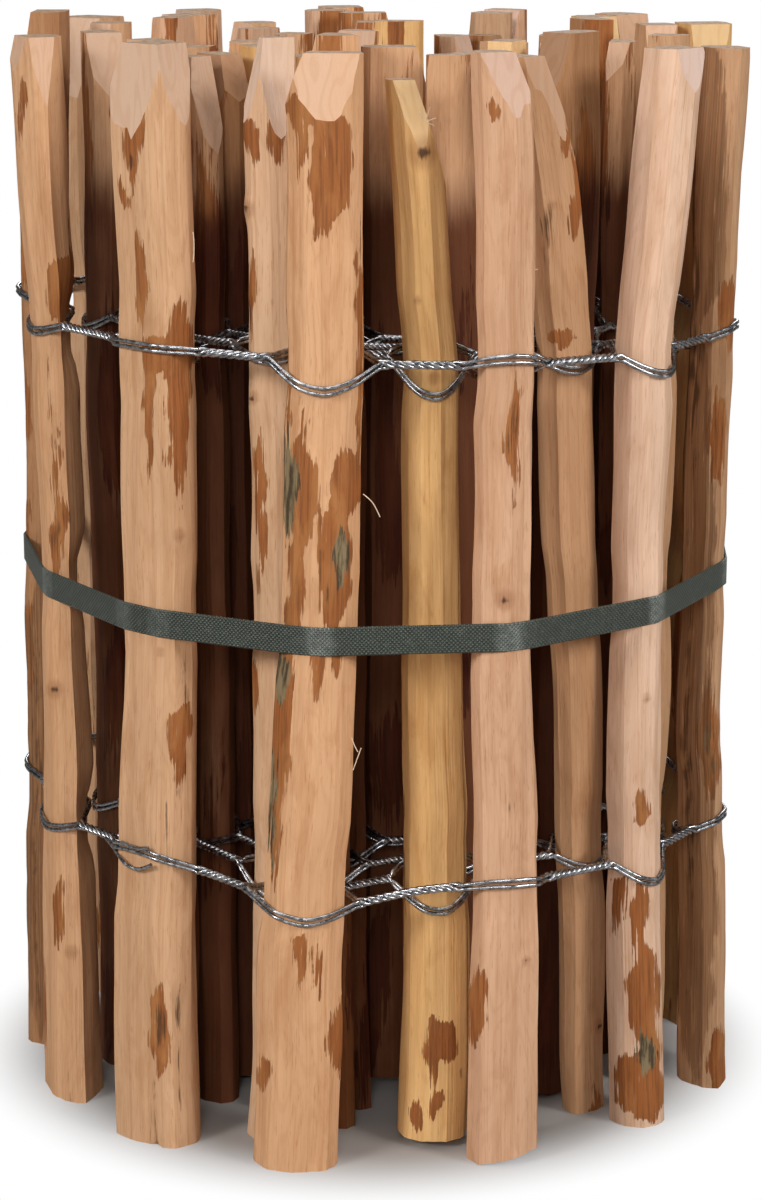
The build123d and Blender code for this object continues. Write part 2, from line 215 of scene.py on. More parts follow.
def half_hull(points, side):
    """The taut line over sorted plan points: over their tops for side 1, under them for side -1."""
    chain = []
    for point in sorted(points):
        while len(chain) > 1:
            (ax, ay), (bx, by) = chain[-2], chain[-1]
            if side * ((bx - ax) * (point[1] - ay) - (by - ay) * (point[0] - ax)) < 0:
                break
            chain.pop()
        chain.append(point)
    return chain


def corners_of(name):
    """The corner points of every triangle of a CAD node."""
    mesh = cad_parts[name].data
    points = np.array([v.co for v in mesh.vertices])
    return points[np.array([f.vertices[:] for f in mesh.polygons])]


def around(count):
    """Unit plan directions, evenly spaced round a pale."""
    turn = np.linspace(0, 2 * math.pi, count, endpoint=False)
    return np.stack([np.cos(turn), np.sin(turn)], axis=1)


pale_names = [f"pale_{number:02d}" for number in range(1, PALE_COUNT + 1)]
pale_corners = {name: corners_of(name) for name in pale_names}



def new_finish(name):
    """A new material, its tree of nodes and its surface."""
    made = bpy.data.materials.new(name)
    made.use_nodes = True
    return made, made.node_tree, made.node_tree.nodes["Principled BSDF"]


wood, tree, surface = new_finish("cleft_wood")
surface.inputs["Roughness"].default_value = 0.72
surface.inputs["Specular IOR Level"].default_value = 0.25


def attribute(tree, name):
    return add(tree, "ShaderNodeAttribute", attribute_name=name)


def stretched(tree, vector, across, along, detail, distortion=0.0):
    """Noise drawn out along the grain: its size across and along, in metres."""
    sizes = (1 / across, 1 / across, 1 / along)
    scaled = add(tree, "ShaderNodeVectorMath", {0: vector, 1: sizes}, operation="MULTIPLY")
    made = add(tree, "ShaderNodeTexNoise", {"Vector": scaled.outputs[0], "Scale": 1.0, "Detail": detail,
                                            "Roughness": 0.6, "Distortion": distortion})
    return made.outputs[0]


def level(tree, value, low, high, to_low=0.0, to_high=1.0):
    """A value's place between two levels, held within them."""
    span = {"Value": value, "From Min": low, "From Max": high, "To Min": to_low, "To Max": to_high}
    made = add(tree, "ShaderNodeMapRange", span, interpolation_type="SMOOTHSTEP")
    return made.outputs[0]


def mixed(tree, share, first, second, blend="MIX"):
    made = add(tree, "ShaderNodeMixRGB", {"Fac": share, "Color1": first, "Color2": second}, blend_type=blend)
    return made.outputs[0]


def maths(tree, operation, first, second):
    return add(tree, "ShaderNodeMath", {0: first, 1: second}, operation=operation).outputs[0]


fibre = attribute(tree, "fibre").outputs["Vector"]
tint = attribute(tree, "tint").outputs["Color"]
fine = stretched(tree, fibre, 0.0010, 0.11, 4)
broad = stretched(tree, fibre, 0.0050, 0.22, 4, 0.6)
patchy = stretched(tree, fibre, 0.012, 0.05, 4, 0.8)
ragged = stretched(tree, fibre, 0.0028, 0.017, 5)
pores = stretched(tree, fibre, 0.0006, 0.010, 2)
blotched = stretched(tree, fibre, 0.020, 0.10, 3, 0.4)

growth = stretched(tree, fibre, 0.013, 0.075, 1)
rings = maths(tree, "SINE", maths(tree, "MULTIPLY", growth, 52.0), 0.0)

deep = mixed(tree, 1.0, tint, (0.66, 0.49, 0.33, 1), "MULTIPLY")
bright = mixed(tree, 1.0, tint, (1.12, 1.14, 1.18, 1), "MULTIPLY")
grain = mixed(tree, level(tree, blotched, 0.35, 0.68), bright, tint)
grain = mixed(tree, level(tree, broad, 0.42, 0.7, 0.0, 0.3), grain, deep)
grain = mixed(tree, level(tree, fine, 0.5, 0.74, 0.0, 0.4), grain, deep)
grain = mixed(tree, level(tree, patchy, 0.5, 0.72, 0.0, 0.4), grain, deep)
grain = mixed(tree, level(tree, rings, 0.2, 1.0, 0.0, 0.12), grain, deep)
grain = mixed(tree, level(tree, pores, 0.6, 0.7, 0.0, 0.5), grain, deep)

cut_face = mixed(tree, 1.0, tint, (1.03, 1.16, 1.46, 1), "MULTIPLY")
cut_face = mixed(tree, level(tree, rings, 0.0, 1.0, 0.0, 0.16), cut_face, deep)
cut_face = mixed(tree, level(tree, blotched, 0.4, 0.7, 0.0, 0.3), cut_face, tint)
hewn_face = attribute(tree, "hewn").outputs["Fac"]
cleft_face = maths(tree, "SUBTRACT", 1.0, hewn_face)
grain = mixed(tree, hewn_face, grain, cut_face)

torn = stretched(tree, fibre, 0.0011, 0.03, 3)
rough_edge = maths(tree, "ADD", maths(tree, "MULTIPLY", maths(tree, "SUBTRACT", ragged, 0.5), 1.1),
                   maths(tree, "MULTIPLY", maths(tree, "SUBTRACT", torn, 0.5), 2.0))


def torn_edge(tree, name, low, high):
    """A mark's face, with its edge torn along the grain."""
    amount = attribute(tree, name).outputs["Fac"]
    tear = maths(tree, "MULTIPLY", rough_edge, level(tree, amount, 0.02, 0.3))
    return maths(tree, "MULTIPLY", level(tree, maths(tree, "ADD", amount, tear), low, high), cleft_face)


bark = torn_edge(tree, "bark", 0.47, 0.55)
bark_streaks = level(tree, torn, 0.40, 0.72, 0.0, 0.68)
bark_colour = mixed(tree, bark_streaks, (0.355, 0.120, 0.032, 1), (0.14, 0.045, 0.014, 1))
bark_colour = mixed(tree, level(tree, patchy, 0.45, 0.7, 0.0, 0.7), bark_colour, (0.47, 0.20, 0.065, 1))
rim = maths(tree, "SUBTRACT", torn_edge(tree, "bark", 0.41, 0.49), bark)
grain = mixed(tree, maths(tree, "MULTIPLY", rim, 0.6), grain, (0.25, 0.085, 0.025, 1))
grain = mixed(tree, bark, grain, bark_colour)

grey = torn_edge(tree, "grey", 0.5, 0.58)
grey_colour = mixed(tree, level(tree, ragged, 0.42, 0.6), (0.26, 0.19, 0.10, 1), (0.075, 0.05, 0.026, 1))
grain = mixed(tree, grey, grain, grey_colour)

# Stains: partly real brown staining of the wood, partly painted shade on cleft faces turned inwards.
stain_and_shade = maths(tree, "MULTIPLY", torn_edge(tree, "stain_and_shade", 0.4, 0.8), 0.7)
stain_and_shade_colour = mixed(tree, level(tree, fine, 0.4, 0.65), (0.27, 0.12, 0.045, 1), (0.11, 0.045, 0.018, 1))
grain = mixed(tree, stain_and_shade, grain, stain_and_shade_colour)

# Painted shade: the dark marks and splits darken grooves, cracks and inward faces nearly to black.
shade = maths(tree, "MULTIPLY", torn_edge(tree, "dark", 0.4, 0.95), 0.85)
grain = mixed(tree, shade, grain, (0.075, 0.032, 0.014, 1))

knot = attribute(tree, "knot").outputs["Fac"]
halo = level(tree, knot, 0.0030, 0.0085, 0.45, 0.0)
grain = mixed(tree, halo, grain, (0.30, 0.11, 0.035, 1))
ragged_knot = maths(tree, "ADD", knot, maths(tree, "MULTIPLY", rough_edge, 0.0015))
heart = level(tree, ragged_knot, 0.0014, 0.0032, 0.9, 0.0)
grain = mixed(tree, heart, grain, (0.06, 0.024, 0.012, 1))
uneven = maths(tree, "ADD", maths(tree, "MULTIPLY", maths(tree, "SUBTRACT", blotched, 0.5), 1.1),
               maths(tree, "MULTIPLY", rough_edge, 0.12))
# Painted shade: the inner turns' wood is multiplied darker below their heads, with a blotched edge.
inner_shade = attribute(tree, "inner_shade").outputs["Fac"]
uneven = maths(tree, "MULTIPLY", uneven, level(tree, inner_shade, 0.0, 0.3))
inner_shade = level(tree, maths(tree, "ADD", inner_shade, uneven), 0.1, 0.9)
grain = mixed(tree, inner_shade, grain, mixed(tree, 1.0, grain, (*PAINTED_SHADE, 1), "MULTIPLY"))
upright = add(tree, "ShaderNodeSeparateXYZ", {0: add(tree, "ShaderNodeNewGeometry").outputs["Normal"]})
sawn = maths(tree, "MULTIPLY", level(tree, upright.outputs["Z"], 0.96, 0.99), hewn_face)
sawn_colour = mixed(tree, level(tree, ragged, 0.35, 0.65), (0.42, 0.27, 0.155, 1), (0.25, 0.14, 0.07, 1))
grain = mixed(tree, sawn, grain, sawn_colour)
tree.links.new(grain, surface.inputs["Base Color"])

height = maths(tree, "ADD", maths(tree, "MULTIPLY", fine, 0.5), maths(tree, "MULTIPLY", broad, 0.7))
height = maths(tree, "ADD", height, maths(tree, "MULTIPLY", bark, 0.5))
height = maths(tree, "ADD", height, maths(tree, "MULTIPLY", maths(tree, "MULTIPLY", ragged, bark), 0.8))
relief = add(tree, "ShaderNodeBump", {"Strength": 0.55, "Distance": 0.0012, "Height": height})
tree.links.new(relief.outputs[0], surface.inputs["Normal"])

# What the froe left on the pales that face the front, with painted shade: the dark marks and the dark of each
# split are painted shade in grooves, cracks and inward faces, and the stains are partly painted shade. Each
# is
# given where the photograph shows it: left, right, top and bottom in its pixels, and whether the mark is
# straight, a lens, or runs out to a point below or above.
PHOTO_MIDDLE = (381, 600)
PHOTO_FOCUS = 3137
EDGE_SOFTNESS = 8
WANDER = 5
STRIP, LENS, POINTED_BELOW, POINTED_ABOVE = "strip", "lens", "pointed_below", "pointed_above"
MARKS = {
    "pale_04": {
        "bark": ((18, 27, 78, 250, STRIP), (17, 32, 235, 296, LENS), (16, 28, 350, 455, LENS),
                 (22, 30, 505, 560, LENS), (24, 33, 600, 690, STRIP)),
        "stain_and_shade": ((24, 55, 560, 1045, STRIP),),
        "dark": ((33, 38, 585, 1040, STRIP), (43, 47, 600, 1030, STRIP)),
    },
    "pale_05": {
        "bark": ((18, 25, 82, 150, POINTED_BELOW), (60, 75, 205, 300, POINTED_ABOVE),
                 (49, 77, 258, 336, STRIP),
                 (73, 83, 345, 430, STRIP), (51, 60, 408, 500, LENS), (49, 65, 480, 580, LENS),
                 (54, 63, 880, 944, LENS)),
        "dark": ((52, 60, 505, 560, LENS),),
        "split": ((68, 73, 1062, 1115, POINTED_ABOVE),),
    },
    "pale_06": {
        "bark": ((121, 150, 88, 190, POINTED_BELOW), (117, 129, 186, 214, LENS), (133, 145, 226, 340, LENS),
                 (165, 194, 292, 352, POINTED_ABOVE), (141, 194, 340, 380, STRIP),
                 (142, 155, 350, 492, POINTED_BELOW),
                 (166, 194, 352, 502, POINTED_BELOW), (160, 168, 440, 472, LENS),
                 (164, 194, 705, 786, POINTED_BELOW),
                 (152, 172, 985, 1075, LENS)),
        "dark": ((129, 140, 148, 172, LENS), (181, 185, 640, 800, STRIP), (166, 169, 800, 900, STRIP),
                 (157, 168, 1000, 1050, LENS)),
        "split": ((149, 157, 1080, 1160, POINTED_ABOVE), (180, 184, 960, 1100, LENS)),
    },
    "pale_19": {
        "bark": ((240, 260, 124, 165, POINTED_BELOW), (264, 290, 117, 172, POINTED_BELOW),
                 (245, 255, 246, 334, LENS),
                 (254, 266, 430, 516, LENS), (256, 266, 500, 590, POINTED_BELOW), (238, 262, 640, 720, LENS)),
        "dark": ((246, 252, 296, 322, LENS),),
    },
    "pale_07": {
        "bark": ((291, 332, 92, 124, STRIP), (291, 309, 96, 180, POINTED_BELOW), (312, 350, 100, 222, STRIP),
                 (313, 326, 205, 244, POINTED_BELOW), (357, 366, 225, 455, LENS), (283, 290, 310, 440, LENS),
                 (300, 306, 398, 450, POINTED_ABOVE), (286, 318, 425, 560, LENS), (330, 366, 448, 520, LENS),
                 (318, 352, 500, 625, STRIP), (286, 303, 540, 640, STRIP),
                 (270, 297, 640, 780, POINTED_BELOW),
                 (264, 286, 700, 880, POINTED_BELOW), (311, 327, 645, 706, POINTED_BELOW),
                 (330, 343, 645, 680, POINTED_BELOW), (294, 312, 930, 990, POINTED_BELOW),
                 (315, 325, 942, 994, LENS),
                 (327, 350, 998, 1080, LENS), (259, 268, 1045, 1088, LENS)),
        "grey": ((275, 298, 428, 538, LENS), (334, 350, 518, 594, LENS), (272, 293, 648, 702, LENS),
                 (266, 275, 725, 860, LENS)),
        "dark": ((321, 328, 535, 620, LENS),),
        "stain_and_shade": ((268, 273, 560, 690, STRIP), (348, 354, 830, 1000, LENS)),
    },
    "pale_20": {
        "bark": ((422, 452, 1018, 1060, STRIP), (422, 436, 1048, 1094, POINTED_BELOW),
                 (426, 440, 1088, 1116, LENS),
                 (410, 422, 1098, 1134, LENS)),
        "dark": ((453, 459, 1064, 1080, LENS),),
    },
    "pale_08": {
        "bark": ((487, 500, 100, 126, LENS), (508, 523, 370, 502, LENS), (469, 488, 968, 1046, LENS)),
        "dark": ((511, 521, 395, 480, LENS), (503, 508, 655, 698, LENS), (509, 513, 786, 826, LENS),
                 (504, 509, 1054, 1098, LENS)),
    },
    "pale_21": {
        "bark": ((558, 574, 128, 158, POINTED_BELOW), (566, 581, 150, 240, LENS),
                 (586, 612, 1090, 1140, POINTED_ABOVE),
                 (546, 576, 326, 346, LENS)),
        "dark": ((539, 549, 200, 264, LENS),),
    },
    "pale_09": {
        "bark": ((634, 652, 785, 826, POINTED_ABOVE), (612, 628, 878, 934, POINTED_BELOW),
                 (630, 650, 876, 945, LENS),
                 (628, 657, 925, 1060, LENS), (640, 660, 940, 1110, STRIP), (617, 664, 1052, 1122, STRIP)),
        "grey": ((636, 655, 1026, 1086, LENS),),
    },
    "pale_10": {
        "bark": ((718, 738, 270, 352, LENS), (708, 726, 388, 494, LENS), (700, 722, 682, 808, LENS),
                 (706, 733, 1024, 1090, POINTED_ABOVE)),
        "grey": ((708, 717, 705, 770, LENS),),
        "stain_and_shade": ((672, 728, 30, 330, STRIP), (672, 716, 300, 1090, STRIP)),
        "dark": ((690, 699, 150, 520, LENS), (684, 692, 560, 980, LENS)),
    },
}
# How much deeper a pale's front bevel is hewn, how far it turns to the right, and how much steeper it is.
SHAVED = {"pale_06": (0.0040, 0.0, 0.09), "pale_07": (0.0042, 0.12, 0.10), "pale_08": (0.0008, 0.0, 0.0),
          "pale_20": (0.0004, 0.0, 0.0)}
# Which side of a pale stands out, left or right, and by how much.
SWOLLEN = {"pale_03": (-1, 0.0055), "pale_04": (1, 0.0015), "pale_05": (1, 0.003), "pale_11": (-1, 0.0042),
           "pale_22": (1, 0.002)}
# Where the photograph shows a knot, in its pixels, and how large the knot is there.
KNOTS = {
    "pale_05": ((56, 689, 5), (70, 951, 4)),
    "pale_19": ((247, 209, 5), (253, 398, 4)),
    "pale_20": ((421, 152, 9), (418, 300, 3), (434, 378, 4)),
    "pale_08": ((505, 600, 6), (526, 960, 3)),
    "pale_21": ((601, 1026, 4), (551, 205, 3)),
    "pale_09": ((687, 72, 4), (647, 698, 3)),
    "pale_06": ((178, 535, 4), (160, 652, 3)),
}


def seen_at(point):
    """The pixel of the photograph at which a point of the roll is seen."""
    pitch = math.radians(CAMERA_PITCH)
    ahead, above = point[1] - axis.y + CAMERA_DISTANCE, point[2] - CAMERA_HEIGHT
    depth = ahead * math.cos(pitch) - above * math.sin(pitch)
    rise = above * math.cos(pitch) + ahead * math.sin(pitch)
    return (PHOTO_MIDDLE[0] + PHOTO_FOCUS * (point[0] - axis.x) / depth,
            PHOTO_MIDDLE[1] - PHOTO_FOCUS * rise / depth)


def traced(seen):
    """The points of the roll seen at pixels of the photograph, each given with how far back it stands."""
    pitch = math.radians(CAMERA_PITCH)
    route = []
    for across, down, back in seen:
        ahead = back - axis.y + CAMERA_DISTANCE
        rise = (PHOTO_MIDDLE[1] - down) / PHOTO_FOCUS
        tilt = rise * math.cos(pitch) - math.sin(pitch)
        above = ahead * tilt / (math.cos(pitch) + rise * math.sin(pitch))
        depth = ahead * math.cos(pitch) - above * math.sin(pitch)
        route.append((axis.x + (across - PHOTO_MIDDLE[0]) * depth / PHOTO_FOCUS, back, CAMERA_HEIGHT + above))
    return route


def inside(mark, across, down):
    """How far inside a mark's edge a pixel is, as 0 well outside, 0.5 on the edge and 1 well inside."""
    left, right, top, bottom, shape = mark
    middle, width = (left + right) / 2, (right - left) / 2
    share = ((top + bottom) / 2 - down) / ((bottom - top) / 2)
    if abs(share) > 1.15:
        return 0.0
    held = min(1.0, abs(share))
    if shape == STRIP:
        width *= 1 - held ** 6
    elif shape == LENS:
        width *= 1 - held ** 2
    elif shape == POINTED_BELOW:
        width *= max(0.0, (share + 1) / 2) ** 0.6 * (1 - max(0.0, share) ** 8)
    else:
        width *= max(0.0, (1 - share) / 2) ** 0.6 * (1 - max(0.0, -share) ** 8)
    return min(1.0, max(0.0, 0.5 + (width - abs(across - middle)) / EDGE_SOFTNESS))


def noise_at(point, across, along, offset):
    """Smooth noise between -1 and 1, drawn out along the grain."""
    place = Vector((point[0] / across + offset, point[1] / across - offset, point[2] / along + offset))
    return noise.noise(place)


def ring_at(corners, height):
    """The seven corners of a pale's section at a height, in order round it."""
    ends = [tuple(p) for p in cut(corners, height).reshape(-1, 2)]
    ring = half_hull(ends, -1)[:-1] + half_hull(ends, 1)[:0:-1]
    while len(ring) > SECTION_CORNERS:
        turns = []
        for k, (x, y) in enumerate(ring):
            (ax, ay), (bx, by) = ring[k - 1], ring[(k + 1) % len(ring)]
            turns.append(abs((x - ax) * (by - ay) - (y - ay) * (bx - ax)))
        ring.pop(turns.index(min(turns)))
    return np.array(ring)


def flat_cuts(corners):
    """The bevels at a pale's head and the slanted cut at its foot: point, normal, area and heights."""
    across = np.cross(corners[:, 1] - corners[:, 0], corners[:, 2] - corners[:, 0])
    areas = np.linalg.norm(across, axis=1)
    found = []
    for k in np.argsort(-areas):
        if areas[k] < SMALLEST_FACE:
            break
        normal = across[k] / areas[k]
        heights = corners[k, :, 2]
        for plane in found:
            apart = abs((corners[k, 0] - plane["point"]) @ plane["normal"])
            if plane["normal"] @ normal > SAME_FACING and apart < SAME_PLANE:
                plane["area"] += areas[k] / 2
                plane["low"] = min(plane["low"], heights.min())
                plane["high"] = max(plane["high"], heights.max())
                break
        else:
            found.append({"normal": normal, "point": corners[k, 0], "area": areas[k] / 2,
                          "low": heights.min(), "high": heights.max()})
    return [plane for plane in found if plane["area"] > SMALLEST_CUT
            and plane["high"] - plane["low"] < TALLEST_CUT and abs(plane["normal"][2]) < LEVEL_FACING]


def split_pale(name, number):
    """One pale: its cleft length in rings that take the waves and ridges of the grain, then its cuts."""
    fine_one = number <= OUTER_COUNT or name in PALE_WOODS
    corners = pale_corners[name]
    low, high = corners[:, :, 2].min(), corners[:, :, 2].max()
    cuts = flat_cuts(corners)
    first_whole = max([plane["high"] for plane in cuts if plane["high"] < FEET_BELOW] + [low]) + CUT_MARGIN
    last_whole = min([plane["low"] for plane in cuts if plane["low"] > HEADS_ABOVE] + [high]) - CUT_MARGIN
    ring_step = FINE_RING if fine_one else COARSE_RING
    levels = np.linspace(low, high, int((high - low) / ring_step) + 1)
    rings = {}
    last = None
    near_foot, near_head = first_whole + SLOPE_SPAN, last_whole - SLOPE_SPAN
    for z in [first_whole, near_foot, near_head, last_whole] + list(levels):
        if first_whole <= z <= last_whole:
            ring = ring_at(corners, z + CORNER_NUDGE)
            if last is not None:
                turned = [np.roll(ring, -k, axis=0) for k in range(SECTION_CORNERS)]
                middle, last_middle = ring.mean(axis=0), last.mean(axis=0)
                ring = min(turned, key=lambda r: np.abs(r - middle - last + last_middle).sum())
            rings[z] = last = ring
    bottom, top = rings[first_whole], rings[last_whole]
    bottom_slope = (rings[near_foot] - bottom) / SLOPE_SPAN
    top_slope = (top - rings[near_head]) / SLOPE_SPAN
    for z in levels:
        if z < first_whole:
            rings[z] = bottom + bottom_slope * (z - first_whole)
        elif z > last_whole:
            rings[z] = top + top_slope * (z - last_whole)

    middle_ring = rings[levels[len(levels) // 2]]
    sides = np.roll(middle_ring, -1, axis=0) - middle_ring
    lengths = np.hypot(sides[:, 0], sides[:, 1])
    side_step = FINE_SIDE if fine_one else COARSE_SIDE
    counts = [max(2, int(round(side / side_step))) for side in lengths]
    before = np.roll(sides, 1, axis=0)
    crossed = before[:, 0] * sides[:, 1] - before[:, 1] * sides[:, 0]
    bends = np.degrees(np.arctan2(crossed, (before * sides).sum(axis=1)))
    places = [(k, step / counts[k]) for k in range(SECTION_CORNERS) for step in range(counts[k])]
    count = len(places)
    arrises = [place for place, (k, share) in enumerate(places) if share == 0 and bends[k] > SHARP_ARRIS]

    chance = np.random.default_rng(number)
    offset = number * 7.3
    tone = chance.uniform(0.86, 1.08)
    lean = chance.uniform(-0.05, 0.05)
    drawn_wood = (FRESH, YELLOW, PINK, BROWN)[chance.choice(4, p=(0.5, 0.2, 0.15, 0.15))]
    colour = np.array(PALE_WOODS.get(name, DEEPER_WOODS.get(name, drawn_wood)))
    colour = colour * (tone if name not in PALE_WOODS else 1) * (1 + lean, 1, 1 - lean)
    marks = MARKS.get(name, {})
    knots = KNOTS.get(name, ())
    swell_side, swell = SWOLLEN.get(name, (0, 0.0))
    barky = -0.22 if name in PALE_WOODS else chance.uniform(-0.2, 0.14)

    points, values = [], {"bark": [], "grey": [], "stain_and_shade": [], "dark": [], "knot": [], "fibre": []}
    for z in levels:
        ring = rings[z]
        following = np.roll(ring, -1, axis=0)
        line = ring.mean(axis=0)
        bands = [abs(z - STRAP_HEIGHT) / STRAP_BAND] + [abs(z - wire) / WIRE_BAND for wire in WIRE_HEIGHTS]
        free = min(1.0, max(0.0, min(bands) - 0.7))
        clear = min(1.0, max(0.0, (min(bands) - 0.6) / 0.4))
        sway = KINK * free
        sway_x = sway * noise.noise(Vector((z / 0.07, offset, 0.5)))
        sway_y = sway * noise.noise(Vector((z / 0.09, offset, 4.5)))
        for k, share in places:
            side = following[k] - ring[k]
            belly = 4 * share * (1 - share) * BULGE * free
            x, y = ring[k] + side * share + np.array((side[1], -side[0])) * belly
            reach = math.hypot(x - line[0], y - line[1])
            ray = ((x - line[0]) / reach, (y - line[1]) / reach)
            own = (x - line[0], y - line[1], z)
            moved = (noise_at(own, WAVE_ACROSS, WAVE_ALONG, offset) * UNDULATION
                     + noise_at(own, RIDGE_ACROSS, RIDGE_ALONG, offset + 3) * FIBRE_RELIEF)
            moved += swell * max(0.0, swell_side * ray[0]) * clear
            if free < 1:
                moved = moved * (0.35 + 0.65 * free) - (1 - free) * PRESSED_IN
            near = 1.0
            amounts = dict.fromkeys(("bark", "grey", "stain_and_shade", "dark", "split"), 0.0)
            facing = bool(marks) and ray[1] < 0.3
            if facing or knots:
                across, down = seen_at((x, y, z))
            for knot_across, knot_down, size in knots:
                if ray[1] < 0.2:
                    away = math.hypot(across - knot_across, (down - knot_down) * 0.8) / size
                    near = min(near, away * 0.004)
                    moved += KNOT_RISE * math.exp(-away ** 2 / 4) * free
            if facing:
                across += WANDER * noise.noise(Vector((offset, x / 0.02, z / 0.011)))
                down += 3 * WANDER * noise.noise(Vector((x / 0.005, offset, z / 0.03)))
                for kind, found in marks.items():
                    amounts[kind] = max(inside(mark, across, down) for mark in found)
            scattered = noise_at(own, BARK_ACROSS, BARK_ALONG, offset + 11) + barky - (0.35 if facing else 0)
            amounts["bark"] = max(amounts["bark"], min(1.0, max(0.0, 0.5 + (scattered - 0.22) * 2.2)))
            # A split's crack takes the dark mark's painted shade too.
            amounts["dark"] = max(amounts["dark"], amounts["split"])
            moved -= DARK_DEPTH * amounts["dark"] + SPLIT_DEPTH * max(0.0, amounts["split"] - 0.4)
            moved += BARK_THICKNESS * amounts["bark"] * free
            points.append((x + ray[0] * moved + sway_x, y + ray[1] * moved + sway_y, z))
            for kind in ("bark", "grey", "stain_and_shade", "dark"):
                values[kind].append(amounts[kind])
            values["knot"].append(near)
            values["fibre"].append((own[0] + offset * 0.05, own[1], z + offset * 0.2))
    faces = []
    for ring in range(len(levels) - 1):
        for k in range(count):
            following = (k + 1) % count
            faces.append((ring * count + k, ring * count + following, (ring + 1) * count + following,
                          (ring + 1) * count + k))
    faces.append(tuple(range(count - 1, -1, -1)))
    faces.append(tuple(range(len(points) - count, len(points))))
    mesh = bpy.data.meshes.new("cleft_" + name)
    mesh.from_pydata(points, [], faces)
    mesh.polygons.foreach_set("use_smooth", [number < len(faces) - 2 for number in range(len(faces))])
    for kind in ("bark", "grey", "stain_and_shade", "dark", "knot"):
        readings = np.array(values[kind], np.float32)
        mesh.attributes.new(kind, "FLOAT", "POINT").data.foreach_set("value", readings)
    mesh.attributes.new("fibre", "FLOAT_VECTOR", "POINT").data.foreach_set(
        "vector", np.array(values["fibre"], np.float32).ravel())
    # Painted shade: the second and deeper turns get a darkening share below their heads, where the outer
    # turns shade them.
    if name in PALE_WOODS or number <= OUTER_COUNT:
        inner_shade_share = 0.0
    else:
        inner_shade_share = SECOND_TURN_SHADE if number <= 2 * OUTER_COUNT else 1.0
    depth = np.clip((high - np.array(points)[:, 2] - UNSHADED_HEAD) / UNSHADED_HEAD, 0, 1) * inner_shade_share
    mesh.attributes.new("inner_shade", "FLOAT", "POINT").data.foreach_set("value", depth.astype(np.float32))
    tints = np.ones((len(points), 4), np.float32)
    tints[:, :3] = colour
    mesh.attributes.new("tint", "FLOAT_COLOR", "POINT").data.foreach_set("color", tints.ravel())
    mesh.attributes.new("hewn", "FLOAT", "FACE").data.foreach_set(
        "value", np.array([0.0] * (len(faces) - 2) + [1.0, 1.0], np.float32))
    ends = np.array([edge.vertices[:] for edge in mesh.edges])
    lower = ends.min(axis=1)
    mesh.attributes.new("sharp_edge", "BOOLEAN", "EDGE").data.foreach_set(
        "value", (ends.max(axis=1) - lower == count) & np.isin(lower % count, arrises))

    work = bmesh.new()
    work.from_mesh(mesh)
    hewn = work.faces.layers.float["hewn"]
    deeper, turned, steeper = SHAVED.get(name, (0.0, 0.0, 0.0))
    for plane in cuts:
        normal, place = Vector(plane["normal"]), Vector(plane["point"])
        if deeper and normal.y < -0.9:
            x = line[0] - place.x
            place.y -= (normal.x * x + normal.z * (high - place.z)) / normal.y - deeper
            place.x, place.z = line[0], high
            normal = (normal + Vector((turned, 0, steeper))).normalized()
        parts = work.verts[:] + work.edges[:] + work.faces[:]
        sliced = bmesh.ops.bisect_plane(work, geom=parts, dist=1e-6, plane_no=normal, clear_outer=True,
                                        plane_co=place)
        rim = [part for part in sliced["geom_cut"] if isinstance(part, bmesh.types.BMEdge)]
        for face in bmesh.ops.edgeloop_fill(work, edges=rim)["faces"]:
            face.smooth = False
            face[hewn] = 1.0
    bmesh.ops.recalc_face_normals(work, faces=work.faces)
    work.to_mesh(mesh)
    work.free()
    mesh.materials.append(wood)
    mesh.update()
    return mesh


for number, name in enumerate(pale_names, start=1):
    pale = bpy.data.objects.new("cleft_" + name, split_pale(name, number))
    scene.collection.objects.link(pale)
    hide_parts(name)
    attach(pale, "root")

# The wire lines: four galvanised wires at each height, worked in two pairs. One pair crosses in front of a
# pale and the other behind it. In the gap to the next pale all four are twisted together, left and right by
# turns.
WIRE = 0.0018
WIRE_FACETS = 7
WIRE_CLEARANCE = 0.0007
OUTLINE_RAYS = 48
PAIR_SPREAD = 0.00095
LOOP_SPREAD = 0.0006
OUTER_STEP, SECOND_STEP, INNER_STEP = 0.0018, 0.0022, 0.003
OUTER_TURN_STEPS, SECOND_TURN_STEPS, INNER_TURN_STEPS = 8, 6, 4
TAIL_OFFSET = 0.001
BRAID_RADIUS = 0.00125
TWIST_PITCH = 0.014
TWIST_MARGIN = 0.006
LINE_FALL = 0.005 / 0.17
SAG = {"upper": 0.0, "lower": 0.012}
SAG_MIDDLE = -0.027
SAG_WIDTH = 0.040
LOOP_DROP = 0.008
LOOP_RISE = 0.004
TAIL = 0.016

zinc, tree, surface = new_finish("galvanised_wire")
place = add(tree, "ShaderNodeTexCoord").outputs["Object"]
spangle = add(tree, "ShaderNodeTexNoise", {"Vector": place, "Scale": 420.0, "Detail": 3.0}).outputs[0]
dull = add(tree, "ShaderNodeTexNoise", {"Vector": place, "Scale": 60.0, "Detail": 2.0}).outputs[0]
zinc_colour = mixed(tree, level(tree, spangle, 0.35, 0.65), (0.30, 0.31, 0.33, 1), (0.54, 0.55, 0.57, 1))
zinc_colour = mixed(tree, level(tree, dull, 0.5, 0.7, 0.0, 0.6), zinc_colour, (0.15, 0.15, 0.155, 1))
tree.links.new(zinc_colour, surface.inputs["Base Color"])
tree.links.new(level(tree, spangle, 0.3, 0.7, 0.20, 0.34), surface.inputs["Roughness"])
surface.inputs["Metallic"].default_value = 1.0

